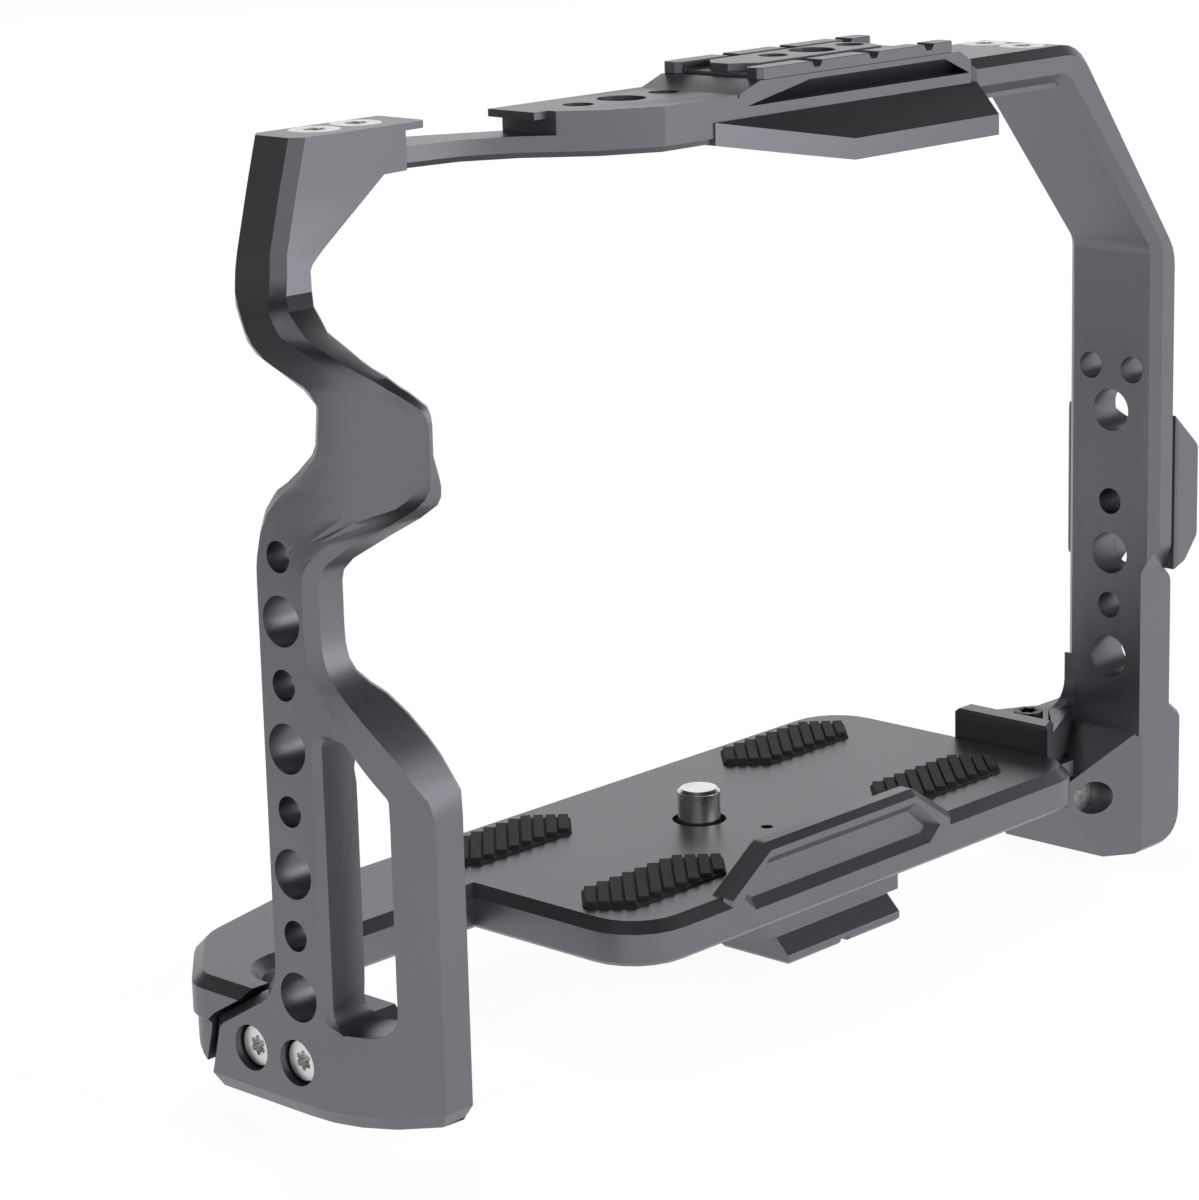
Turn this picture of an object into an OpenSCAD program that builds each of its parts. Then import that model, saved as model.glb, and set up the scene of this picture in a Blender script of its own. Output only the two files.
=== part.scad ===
// Camera cage: a frame of four machined pieces round a camera body, with a base plate,
// a captive camera screw, an accessory shoe and three quick-release interfaces.
// Millimetres. The origin is the camera screw's axis at the plate's top face, X runs from the
// grip side to the screen side, Y runs from the lens side to the back, and Z is up.

/* [Base plate] */
// Thickness of the base plate
plate_t = 6.2; // [5.6:0.1:7]
// Distance from the camera screw to the right end of the plate
plate_right = 58.7; // [57:0.5:60]
// Distance from the camera screw to the left end of the main plate
plate_left = 43.5; // [40:0.5:46]
// Distance from the camera screw to the front face of the plate
plate_front = 27.8; // [27:0.2:29]
// Distance from the camera screw to the back face of the plate
plate_back = 23.9; // [22:0.2:26]
// Chamfer along the top edge of the plate
plate_bevel = 1.5; // [0.5:0.1:1.8]
// Height of the front lip above the plate
lip_h = 5.8; // [4:0.1:7]
// Half length of the top of the front lip
lip_half = 16.5; // [12:0.5:20]
// Length of each rubber pad
pad_len = 28.4; // [27:0.2:30]
// Width of each rubber pad
pad_w = 10.6; // [8:0.2:12]
// Number of ribs on each pad
pad_ribs = 11; // [7:1:13]

/* [Camera screw] */
// Outside diameter of the camera screw's thread
screw_d = 6.35; // [6.0:0.05:6.5]
// Height of the camera screw above the plate when it is raised
screw_rise = 4.85; // [4.5:0.05:5.5]
// Diameter of the screw's plain shank, which turns in the plate
shank_d = 7.9; // [7.6:0.05:8.2]
// Diameter of the screw's head under the plate
head_d = 12.4; // [11:0.1:12.6]
// Distance that the captive screw can drop
screw_travel = 1.6; // [1:0.1:1.8]

/* [Grip-side arm] */
// Distance from the camera screw to the outer face of the grip-side arm
grip_out = 92.5; // [92:0.1:93]
// Thickness of the grip-side arm
grip_t = 6.3; // [6:0.1:6.8]
// Depth of the front face of the grip-side arm in front of the camera screw
grip_front = 31; // [30.6:0.1:31.4]
// Radius of the arm's curve from the side to the front
grip_curve = 19; // [18.5:0.1:20]
// Chamfer along the arm's outer edges
grip_bevel = 1.5; // [1:0.1:1.6]
// Height of the top of the cage above the plate
cage_h = 110; // [108:0.5:114]

/* [Screen-side arm] */
// Distance from the camera screw to the inner face of the screen-side arm
side_in = 76.2; // [75.8:0.1:76.8]
// Thickness of the screen-side arm
side_t = 5.9; // [5.4:0.1:6.4]
// Width of the screen-side arm from front to back
side_w = 17; // [16.4:0.2:17.2]
// Chamfer along the arm's long edges
side_bevel = 1.4; // [0.8:0.1:1.6]
// Thickness of the side receiver beyond the arm
receiver_t = 6.1; // [5:0.1:7]

/* [Top bar] */
// Thickness of the top bar's low part, which is also the accessory shoe's floor
floor_t = 2.9; // [2.6:0.1:3.2]
// Full thickness of the top bar
bar_t = 6; // [5.6:0.1:6.4]
// Width between the side walls of the accessory shoe
shoe_w = 18.6; // [18.5:0.05:18.8]
// Height of the accessory shoe's slot
shoe_slot = 2.1; // [2.05:0.05:2.3]
// Height of the quick-release rail above the raised deck
rail_h = 1.6; // [1.2:0.1:2]

/* [Mounting holes] */
// Diameter of the quarter-inch mounting holes
quarter_d = 6.6; // [5.5:0.1:6.8]
// Diameter of the locating holes beside them
locate_d = 4.1; // [3:0.1:4.6]
// Pitch from a quarter-inch hole to the next locating hole
hole_pitch = 8.25; // [8:0.05:8.4]

/* [Foot plate] */
// Width of the dovetail foot plate over its two lips
foot_w = 38; // [37:0.1:39]
// Depth of the foot plate under the base plate
foot_h = 11.8; // [11:0.1:12.4]
// Distance from the camera screw to the right end of the foot plate
foot_right = 23.3; // [22:0.1:26]
// Distance from the camera screw to the left end of the foot plate
foot_left = 8; // [7.8:0.1:9]

/* [Hidden] */
$fn = 64;
// Overrun of every cut past the face that it opens
over = 0.4;
// Most steps in a rounded corner of an outline, degrees in each, and radius for each
corner_n = 6;
corner_turn = 15;
corner_step = 0.7;
// Clearance of a screw's shaft in its hole
shaft_gap = 0.05;
body_grey = "#55565a";
rubber_black = "#232325";
bright_steel = "#c9cacc";

// Outlines with rounded corners, their insets, and prisms with chamfered ends

function unit(v) = v / norm(v);
function left_of(v) = [-v[1], v[0]];
function flat(p) = [p[0], p[1]];
function corner(a, p, b, r) = r <= 0 ? [p] :
    let(u = unit(a - p), v = unit(b - p), q = acos(u * v), t = r / tan(q / 2),
        c = p + unit(u + v) * r / sin(q / 2), s = p + u * t - c, e = p + v * t - c, w = 180 - q,
        n = max(1, min(corner_n, ceil(w / corner_turn), ceil(r / corner_step))))
    [for (k = [0:n]) c + (sin((1 - k / n) * w) * s + sin(k / n * w) * e) / sin(w)];
function soft(list) = let(n = len(list)) [for (i = [0:n - 1])
    each corner(flat(list[(i + n - 1) % n]), flat(list[i]), flat(list[(i + 1) % n]), list[i][2])];
function inset(pts, c) = let(n = len(pts)) [for (i = [0:n - 1])
    let(a = left_of(unit(pts[i] - pts[(i + n - 1) % n])),
        b = left_of(unit(pts[(i + 1) % n] - pts[i])))
    pts[i] + c * (a + b) / (1 + a * b)];

module layers(outs, zs) {
    n = len(outs[0]);
    m = len(outs);
    points = [for (j = [0:m - 1]) for (p = outs[j]) [p[0], p[1], zs[j]]];
    low = [for (i = [0:n - 1]) i];
    high = [for (i = [n - 1:-1:0]) (m - 1) * n + i];
    walls = [for (j = [0:m - 2]) for (i = [0:n - 1])
        [j * n + i, (j + 1) * n + i, (j + 1) * n + (i + 1) % n, j * n + (i + 1) % n]];
    polyhedron(points = points, faces = concat([low], [high], walls), convexity = 10);
}

module edge_cutter(pts, c) {
    difference() {
        translate([0, 0, -over / 2]) linear_extrude(c + over) polygon(inset(pts, -2 * over));
        layers([inset(pts, -over), pts, inset(pts, c + over)], [-over, 0, c + over]);
    }
}

module bevelled(pts, h, low, high) {
    difference() {
        linear_extrude(h) polygon(pts);
        if (high > 0) translate([0, 0, h - high]) edge_cutter(pts, high);
        if (low > 0) translate([0, 0, low]) mirror([0, 0, 1]) edge_cutter(pts, low);
    }
}

// A profile in Y and Z, extruded towards +X from x0
module along_x(x0) {
    translate([x0, 0, 0]) rotate([90, 0, 90]) children();
}

// A profile in X and Z, extruded towards -Y from y0
module along_y(y0) {
    translate([0, y0, 0]) rotate([90, 0, 0]) children();
}

module box(a, b) {
    translate(a) cube(b - a);
}

// A screw with its head's top at the origin, pointing towards -Z, with a six-lobed recess
module pan_screw(head_r, head_t, shaft_r, length, star_r, star_t) {
    lobe_share = 0.27;
    difference() {
        union() {
            translate([0, 0, -head_t]) cylinder(h = head_t, r = head_r);
            translate([0, 0, -length]) cylinder(h = length - head_t / 2, r = shaft_r);
        }
        translate([0, 0, -star_t]) {
            cylinder(h = star_t + over, r = star_r * (1 - lobe_share));
            for (k = [0:5])
                rotate([0, 0, 60 * k]) translate([star_r * (1 - lobe_share), 0, 0])
                    cylinder(h = star_t + over, r = star_r * lobe_share, $fn = 24);
        }
    }
}

// A countersunk screw with its flat top at the origin
module sunk_screw(head_r, cone_t, shaft_r, length, star_r, star_t) {
    rim_share = 0.2;
    rim = cone_t * rim_share;
    lobe_share = 0.27;
    difference() {
        rotate_extrude() polygon([[0, 0], [head_r, 0], [head_r, -rim],
            [shaft_r, -cone_t], [shaft_r, -length], [0, -length]]);
        translate([0, 0, -star_t]) {
            cylinder(h = star_t + over, r = star_r * (1 - lobe_share));
            for (k = [0:5])
                rotate([0, 0, 60 * k]) translate([star_r * (1 - lobe_share), 0, 0])
                    cylinder(h = star_t + over, r = star_r * lobe_share, $fn = 24);
        }
    }
}

// The seat that a countersunk screw leaves in its piece
module sunk_seat(head_r, cone_t, shaft_r, length) {
    rim_share = 0.2;
    rim = cone_t * rim_share;
    g = shaft_gap;
    rotate_extrude() polygon([[0, over], [head_r + g, over], [head_r + g, -rim],
        [shaft_r + g, -cone_t], [shaft_r + g, -length], [0, -length]]);
}

// Countersunk screws of the two top joints
joint_head_r = 3.4;
joint_cone_t = 2.2;
joint_shaft_r = 2;
joint_screw_len = 5.7;
joint_star_r = 1.6;
small_star_r = 1.35;
joint_star_t = 1.2;
grip_joint_shares = [[0.8205, 0.181], [0.7395, 0.168]];
grip_joint_places = [for (s = grip_joint_shares) [-s[0] * grip_out, -s[1] * grip_front]];

// Base plate: the main plate, the rear strip and the hook at its left end
end_r = 9.5;
front_r = 7;
left_r = 9;
strip_front = 3.6;
strip_slope = 1.0;
strip_taper = 62;
hook_t = 5.8;
hook_front = 3.2;
hook_undercut = 5;
hook_over = 3;
hook_r = 6;
hook_corner_r = 11;
plate_low_bevel = 0.6;
end_drop = 6.7;
end_drop_y = 9.6;
block_gap = 0.15;
block_left = grip_out - grip_t - block_gap;
block_w = 9.2;
block_front = 17;
block_back = 5;
block_top = 3.4;
foot_back = 3.8;
foot_gap = 0.25;
room_low = 13.4;
room_high = 1.4;
room_steps = 12;

function plate_outline() = soft([
    [-plate_left, -plate_front, left_r],
    [plate_right, -plate_front, front_r],
    [plate_right, plate_back, end_r],
    [-strip_taper, plate_back, plate_back],
    [-grip_out + hook_corner_r, plate_back - strip_slope - hook_corner_r / 3, hook_corner_r],
    [-grip_out, strip_front + hook_corner_r / 3, hook_corner_r / 2],
    [-grip_out, -hook_front - hook_over, 0],
    [-grip_out + hook_t, -hook_front - hook_over, 0],
    [-grip_out + hook_t, strip_front, hook_r],
    [-plate_left, strip_front, 0]]);

// Stop wall and joint at the plate's right end
wall_x = 57.5;
wall_t = 4;
wall_back = 3;
wall_front = 21;
wall_h = 4.6;
tongue_t = 2.6;
tongue_len = 11;
tongue_gap = 0.1;
joint_x = 64.2;
joint_y = 12.3;

// Pads: an elongated hexagon, sunk in the plate
pad_sink = 0.9;
pad_base = 0.2;
pad_rise = 0.9;
pad_tip_share = 0.08;
pad_dy = 15;
pad_left_x = 26.4;
pad_right_x = 37.2;
pad_gap = 0.05;
rib_groove = 0.35;
pad_rim = 0.3;

function pad_outline(g) = let(l = pad_len / 2 - g, w = pad_w / 2 - g, t = w * pad_tip_share,
    f = l - w + t)
    [[-l, -t], [-f, -w], [f, -w], [l, -t], [l, t], [f, w], [-f, w], [-l, t]];

// Ribs run at 45 degrees over the pad, along its slanted ends, each cut square to its own length
module pad(x, y) {
    c = cos(45);
    w = pad_w / 2 / c;
    reach = (pad_len / 2 - pad_rim + pad_w / 2 * pad_tip_share) * c;
    pitch = 2 * reach / pad_ribs;
    half = (pitch - rib_groove) / 2;
    u = [c, c];
    v = [c, -c];
    color(rubber_black) translate([x, y, 0]) union() {
        translate([0, 0, -pad_sink]) linear_extrude(pad_sink + pad_base) polygon(pad_outline(pad_gap));
        for (k = [0:pad_ribs - 1]) {
            a = -reach + (k + 1 / 2) * pitch;
            high = min(w + a - half, reach) - pad_rim;
            low = -min(w - a - half, reach) + pad_rim;
            translate([0, 0, pad_base / 2]) linear_extrude(pad_rise - pad_base / 2)
                polygon([(a - half) * v + low * u, (a + half) * v + low * u,
                    (a + half) * v + high * u, (a - half) * v + high * u]);
        }
    }
}

// Front lip with its slanted ends, and the long pocket in the plate's front face
lip_t = 3.5;
lip_run = 8.8;
lip_bevel = 1;
pocket_top = 3.8;
pocket_half = 16.4;
pocket_tip = 22;
pocket_tip_z = 0.8;
pocket_low = 3;
pocket_low_half = 19.5;
pocket_deep = 1.4;
pin_hole_x = 3.2;
pin_hole_y = 10.4;
pin_hole_d = 1.8;
pin_hole_deep = 2;

module lip() {
    low = plate_t / 2;
    pts = soft([[-lip_half - lip_run, -low, 0], [lip_half + lip_run, -low, 0],
        [lip_half + lip_run, 0, 0], [lip_half, lip_h, lip_t / 2],
        [-lip_half, lip_h, lip_t / 2], [-lip_half - lip_run, 0, 0]]);
    along_y(-plate_front + lip_t) bevelled(pts, lip_t, lip_bevel / 2, lip_bevel);
}

module front_pocket() {
    pts = [[-pocket_low_half, -pocket_low], [pocket_low_half, -pocket_low],
        [pocket_tip, -pocket_tip_z], [pocket_half, pocket_top],
        [-pocket_half, pocket_top], [-pocket_tip, -pocket_tip_z]];
    along_y(-plate_front + pocket_deep)
        layers([inset(pts, pocket_deep), inset(pts, -over)], [0, pocket_deep + over]);
}

// Screws between the base plate and the foot plate under it
foot_screw_x = [11, 19.3];
foot_screw_y = 11.5;
foot_screw_r = 1.5;
foot_head_r = 2.75;
foot_head_t = 3;
foot_screw_len = 14.8;
foot_hole_top = 1.6;
foot_head_z = 14;

// Torx screws of the grip-side foot
torx_y = [4.1, 12.8];
torx_z = 7.5;
torx_head_r = 2.75;
torx_head_t = 2.3;
torx_seat_r = 3.1;
torx_recess = 1.2;
torx_shaft_r = 1.5;
torx_len = 10.5;

module base_plate() {
    color(body_grey) difference() {
        union() {
            translate([0, 0, -plate_t])
                bevelled(plate_outline(), plate_t, plate_low_bevel, plate_bevel);
            lip();
            // The left end grows deeper towards the front, behind the arm's foot
            intersection() {
                translate([0, 0, -plate_t - end_drop - over])
                    linear_extrude(plate_t + end_drop)
                        polygon(inset(plate_outline(), plate_low_bevel));
                along_x(-grip_out - over)
                    linear_extrude(grip_t + block_w + over) polygon([
                        [plate_back, -plate_t + over * 2], [plate_back, -plate_t],
                        [end_drop_y * 2, -plate_t], [end_drop_y, -plate_t - end_drop / 3],
                        [foot_back + foot_gap, -plate_t - end_drop],
                        [hook_undercut / 3, -plate_t + over * 2]]);
            }
            // The block behind the foot that takes the two foot screws
            along_x(-block_left) linear_extrude(block_w) polygon([
                [block_back, -block_top], [block_back, -plate_t - end_drop],
                [-block_front, -plate_t - end_drop], [-block_front, -block_top - plate_t / 3],
                [-block_front + plate_t / 3, -block_top]]);
        }
        // The hook's front end is cut back underneath, over the arm's foot
        along_x(-grip_out - over) linear_extrude(grip_t + over) polygon([
            [-hook_front - 2 * hook_over, over],
            [-hook_front - 2 * hook_over, -plate_t - end_drop - over],
            [foot_back + foot_gap, -plate_t - end_drop - over],
            [hook_undercut - hook_front, -plate_t],
            [-hook_front - over * hook_undercut / plate_t, over]]);
        front_pocket();
        // Place for the stop wall, and the step that leaves the tongue
        box([wall_x, -wall_front, -plate_t + tongue_t], [plate_right + over, -wall_back, over]);
        for (p = pad_places())
            translate([p[0], p[1], -pad_sink])
                linear_extrude(pad_sink + over) polygon(pad_outline(0));
        translate([0, 0, -plate_t - over])
            cylinder(h = plate_t + 2 * over, d = shank_d + 2 * shaft_gap);
        translate([pin_hole_x, -pin_hole_y, -pin_hole_deep])
            cylinder(h = pin_hole_deep + over, d = pin_hole_d);
        for (x = foot_screw_x) for (s = [-1, 1])
            translate([x, s * foot_screw_y, -plate_t - over])
                cylinder(h = plate_t - foot_hole_top + over, r = foot_screw_r + shaft_gap);
        for (y = torx_y)
            translate([-block_left - over, -y, -torx_z]) rotate([0, 90, 0])
                cylinder(h = torx_len - grip_t + torx_head_t + over, r = torx_shaft_r + shaft_gap);
        // Room for the back of the arm's foot under the hook
        along_x(-grip_out - over) linear_extrude(grip_t + over) polygon(concat(
            [for (k = [0:room_steps]) let(z = -room_low + (room_low - room_high) * k / room_steps)
                [2 * foot_gap + grip_bevel * widen(z, grip_back_shares)
                    - grip_front * at(z, grip_back_shares), z]],
            [[-hook_front - 2 * hook_over, -room_high], [-hook_front - 2 * hook_over, -room_low]]));
    }
    // The tongue that the screen-side arm's foot sits on
    color(body_grey) difference() {
        box([wall_x - plate_t, -wall_front + wall_back, -plate_t],
            [wall_x + tongue_len, -wall_back - wall_back, -plate_t + tongue_t - tongue_gap]);
        translate([joint_x, -joint_y, -plate_t - over])
            cylinder(h = plate_t + 2 * over, r = plate_joint_r + shaft_gap);
    }
}

function pad_places() = [[-pad_left_x, -pad_dy], [pad_right_x, -pad_dy],
    [-pad_left_x, pad_dy], [pad_right_x, pad_dy]];

// The screw that joins the screen-side arm's foot to the plate's tongue
plate_joint_r = 1.5;
plate_joint_head_r = 2.3;
plate_joint_head_t = 1.8;
plate_joint_len = 10.4;
plate_joint_star_t = 1;

module plate_joint_screw() {
    color(rubber_black)
        translate([joint_x, -joint_y, ledge_h + plate_joint_head_t])
            pan_screw(plate_joint_head_r, plate_joint_head_t, plate_joint_r,
                plate_joint_len, plate_joint_r, plate_joint_star_t);
}

// Grip-side arm: horizontal sections lofted upwards. Each row of the tables is a height as a
// share of the cage's height, and a depth as a share of the arm's front depth.
grip_front_shares = [
    [-0.2, 1.0], [0.236, 1.0], [0.264, 0.965], [0.285, 0.906], [0.306, 0.87], [0.326, 0.819],
    [0.352, 0.745], [0.376, 0.674], [0.39, 0.634], [0.404, 0.603], [0.418, 0.584],
    [0.436, 0.571], [0.455, 0.568], [0.509, 0.568], [0.523, 0.577], [0.536, 0.6],
    [0.562, 0.703], [0.587, 0.848], [0.603, 0.93], [0.613, 0.965], [0.624, 0.983],
    [0.638, 0.987], [0.695, 0.987], [0.706, 0.98], [0.716, 0.958], [0.732, 0.894],
    [0.749, 0.803], [0.764, 0.694], [0.776, 0.6], [0.789, 0.474], [0.8, 0.416],
    [0.812, 0.361], [0.828, 0.337], [0.85, 0.329], [0.873, 0.316], [0.945, 0.313], [1.0, 0.313]];
grip_back_shares = [
    [-0.2, 0.05], [-0.142, -0.04], [-0.135, -0.105], [-0.117, -0.121], [-0.054, -0.06],
    [-0.048, -0.035], [-0.006, 0.215], [0.006, 0.265], [0.03, 0.304], [0.045, 0.31],
    [0.52, 0.31], [0.545, 0.323], [0.573, 0.355], [0.59, 0.397], [0.609, 0.465],
    [0.624, 0.545], [0.637, 0.594], [0.652, 0.645], [0.667, 0.671], [0.682, 0.674],
    [0.716, 0.684], [0.727, 0.668], [0.739, 0.623], [0.75, 0.529], [0.761, 0.416],
    [0.771, 0.348], [0.784, 0.29], [0.803, 0.219], [0.823, 0.142], [0.836, 0.123], [1.0, 0.116]];
// Front bevel along the height, as a share of the arm's bevel
grip_cut_shares = [[-0.2, 0], [0.236, 0], [0.285, 1], [1, 1]];
// Outer face along the height, as a share of its distance at the foot
grip_outer_shares = [[-0.2, 1.0], [0.74, 1.0], [0.769, 0.995], [0.784, 0.99], [0.803, 0.979],
    [0.823, 0.9645], [0.836, 0.96], [0.862, 0.9545], [0.896, 0.945], [0.951, 0.9255], [1.0, 0.908]];
// Inner face along the height, as a share of the outer distance at the foot
grip_inner_shares = [[-0.2, 0.932], [0.764, 0.932], [0.786, 0.925], [0.805, 0.907],
    [0.823, 0.893], [0.85, 0.8905], [0.858, 0.884], [0.9452, 0.7425], [0.946, 0.6995],
    [0.9915, 0.6995], [0.9918, 0.666], [1.0, 0.666]];
// Inner face in front, low down and at the bulge: depth and added thickness, as shares of the
// arm's front depth
grip_low_shares = [[-0.5, 0], [0.55, 0], [0.616, 0.01], [0.665, 0.06], [0.706, 0.11], [0.758, 0.15],
    [0.816, 0.178], [0.89, 0.212], [0.945, 0.24], [1.0, 0.275], [1.06, 0.3]];
grip_high_shares = [[-0.5, 0], [0.7, 0], [0.806, 0.01], [0.91, 0.045], [0.955, 0.08],
    [1.0, 0.123], [1.032, 0.151], [1.06, 0.18]];
// Heights between which the inner face goes from its low form to its high form
grip_mix_shares = [[-0.2, 0], [0.53, 0], [0.66, 1], [1, 1]];
grip_inner_bevel = 0.8;
grip_low = 14.8;
grip_low_bevel = 2;
grip_low_inset = 1.2;
grip_steps = 8;

function at(z, table) = lookup(z / cage_h, table);
function grip_arc(y) = let(d = max(0, y - grip_arc_y))
    grip_curve - sqrt(grip_curve * grip_curve - d * d);
grip_arc_y = 15;
function grip_x_out(y, z) = -grip_out * at(z, grip_outer_shares) + grip_arc(y);
function grip_x_in(y, z) = let(s = y / grip_front, m = at(z, grip_mix_shares))
    -grip_out * at(z, grip_inner_shares) + (grip_out * grip_in_share - grip_out + grip_t)
    + grip_front * ((1 - m) * lookup(s, grip_low_shares) + m * lookup(s, grip_high_shares));
grip_in_share = 0.932;
slope_share = 0.008;
nose_share = 0.75;

function slope_of(z, table) = let(h = cage_h * slope_share)
    (at(z + h, table) - at(z - h, table)) * grip_front / (2 * h);
function widen(z, table) = let(s = slope_of(z, table)) min(widen_limit, sqrt(1 + s * s));
widen_limit = 1.9;

function grip_section(z) = let(
    ef = grip_front * at(z, grip_front_shares), er = grip_front * at(z, grip_back_shares),
    cf = grip_bevel * lookup(z / cage_h, grip_cut_shares),
    yf = min(ef + cf * widen(z, grip_front_shares), grip_front + grip_bevel * nose_share),
    yr = er - grip_bevel * widen(z, grip_back_shares),
    turn = min(1, max(0, ef - grip_arc_y) / grip_curve), deep = cf * sqrt(1 - turn * turn),
    b = grip_inner_bevel, n = grip_steps)
    concat(
        [[grip_x_in(yr, z), -yr]],
        [[grip_x_out(yr, z) + grip_bevel, -yr]],
        [for (k = [0:n]) let(y = er + (ef - er) * k / n) [grip_x_out(y, z), -y]],
        [[grip_x_out(ef, z) + deep + (cf > 0 ? 0 : grip_flat), -yf]],
        [[grip_x_in(yf - b, z) - b, -yf]],
        [for (k = [0:n]) let(y = yf - b + (yr - yf + 2 * b) * k / n) [grip_x_in(y, z), -y]]);
grip_flat = 1.6;

// The loft: its ends are closed by a strip between the outer and the inner curve
module grip_loft(outs, zs) {
    n = len(outs[0]);
    m = len(outs);
    k = grip_steps;
    points = [for (j = [0:m - 1]) for (p = outs[j]) [p[0], p[1], zs[j]]];
    strip = concat([[0, 1, 2, n - 1]],
        [for (i = [0:k - 1]) [2 + i, 3 + i, n - 2 - i, n - 1 - i]],
        [[k + 3, k + 4, k + 5, k + 2]]);
    low = [for (q = strip) each [[q[0], q[1], q[2]], [q[0], q[2], q[3]]]];
    high = [for (q = strip) each [[q[2], q[1], q[0]], [q[3], q[2], q[0]]]];
    raise = (m - 1) * n;
    walls = [for (j = [0:m - 2]) for (i = [0:n - 1]) let(a = j * n + i, b = j * n + (i + 1) % n)
        each [[a, a + n, b + n], [a, b + n, b]]];
    polyhedron(points = points, faces = concat(low,
        [for (f = high) [for (i = f) i + raise]], walls), convexity = 10);
}

function grip_levels() = let(
    all = concat([-grip_low, -grip_low + grip_low_bevel],
        [for (r = grip_front_shares) if (r[0] > 0) r[0] * cage_h],
        [for (s = grip_extra_shares) s * cage_h])) sorted(all);
grip_extra_shares = [-0.115, -0.054, -0.048, -0.006, 0.006, 0.03, 0.045, 0.66, 0.672, 0.684, 0.739,
    0.757, 0.858, 0.9452, 0.946, 0.9915, 0.9918];
function sorted(a) = len(a) <= 1 ? a : let(p = a[floor(len(a) / 2)])
    concat(sorted([for (x = a) if (x < p) x]), [p], sorted([for (x = a) if (x > p) x]));

// Window in the arm, behind its front column
window_back = 18.9;
window_front = 27.2;
window_low = 2.2;
window_high = 36.8;
window_side = 29.3;
window_peak = 22.4;
window_r = 3;
window_bevel = 1.2;

function window_outline() = soft([
    [-window_front, -window_low, window_r],
    [-window_back, -window_low, window_r],
    [-window_back, window_high, window_r / 2],
    [-window_peak, window_high, window_r / 2],
    [-window_front, window_side, window_r / 2]]);

// The top block, its lip over the accessory shoe, and the pocket for the bar's tongue
shoe_x = 64.7;
shoe_lip = 3.1;
shoe_lip_t = bar_t - floor_t - shoe_slot;
bar_low = cage_h - bar_t;
tongue_back = 3.4;
tongue_front = 9.6;
tongue_x = 80.2;
fit_gap = 0.05;

function grip_hole_z(k) = quarter_z + k * hole_pitch;
quarter_z = 1.6;
grip_hole_y = 13.7;

module grip_side_arm() {
    zs = grip_levels();
    secs = [for (z = zs) z < -grip_low + grip_low_bevel / 2 ?
        inset(grip_section(z), grip_low_inset) : grip_section(z)];
    color(body_grey) difference() {
        grip_loft(secs, zs);
        box([-tongue_x - fit_gap, -tongue_front - fit_gap, bar_low - over],
            [-shoe_x + over, -tongue_back + fit_gap, bar_low + floor_t + fit_gap]);
        along_x(-grip_out - over) layers(
            [inset(window_outline(), -window_bevel - over), window_outline(), window_outline()],
            [0, window_bevel + over, grip_t * 4]);
        for (k = [0:7])
            translate([-grip_out - over, -grip_hole_y, grip_hole_z(k)]) rotate([0, 90, 0])
                cylinder(h = grip_t + 2 * over, d = k % 2 == 0 ? quarter_d : locate_d);
        for (y = torx_y) translate([-grip_out, -y, -torx_z]) rotate([0, 90, 0]) {
            translate([0, 0, -over]) cylinder(h = torx_recess + torx_head_t + over, r = torx_seat_r);
            cylinder(h = grip_t + over, r = torx_shaft_r + shaft_gap);
        }
        for (p = grip_joint_places) translate([p[0], p[1], cage_h])
            sunk_seat(joint_head_r, joint_cone_t, joint_shaft_r, bar_t);
    }
}

module grip_arm_top_screws() {
    color(bright_steel) for (p = grip_joint_places) translate([p[0], p[1], cage_h])
        sunk_screw(joint_head_r, joint_cone_t, joint_shaft_r, joint_screw_len,
            joint_star_r, joint_star_t);
}

module grip_arm_foot_screws() {
    color(bright_steel) for (y = torx_y)
        translate([-grip_out + torx_recess, -y, -torx_z]) rotate([0, -90, 0])
            pan_screw(torx_head_r, torx_head_t, torx_shaft_r, torx_len, small_star_r,
                joint_star_t);
}

// Top bar
block_right = 29.8;
shoe_wall = shoe_x - shoe_w;
bar_back = 10;
bar_front = 27.5;
bar_left_front = 10.1;
bar_bend_front = 11.5;
bar_bend_x = 56;
bar_bend_y = 3;
bar_left_back = 2;
bar_turn = [-49.5, -15.4];
bar_turn_low = [-42.4, -22.9];
bar_corner = [-34.5, -27.3];
bar_bevel = 0.8;
bar_step = 0.4;
deck_t = 1.5;
deck_left = 16;
deck_right = 27.1;
deck_run = 4.1;
right_tongue_x = 52.6;
right_tongue_back = 12;
right_tongue_front = 26;
scoop_low = 1.7;
scoop_deep = 2.4;
scoop_run = 12.8;
scoop_left = 18.5;
scoop_end = 29.4;
scoop_end_run = 5.7;

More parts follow.
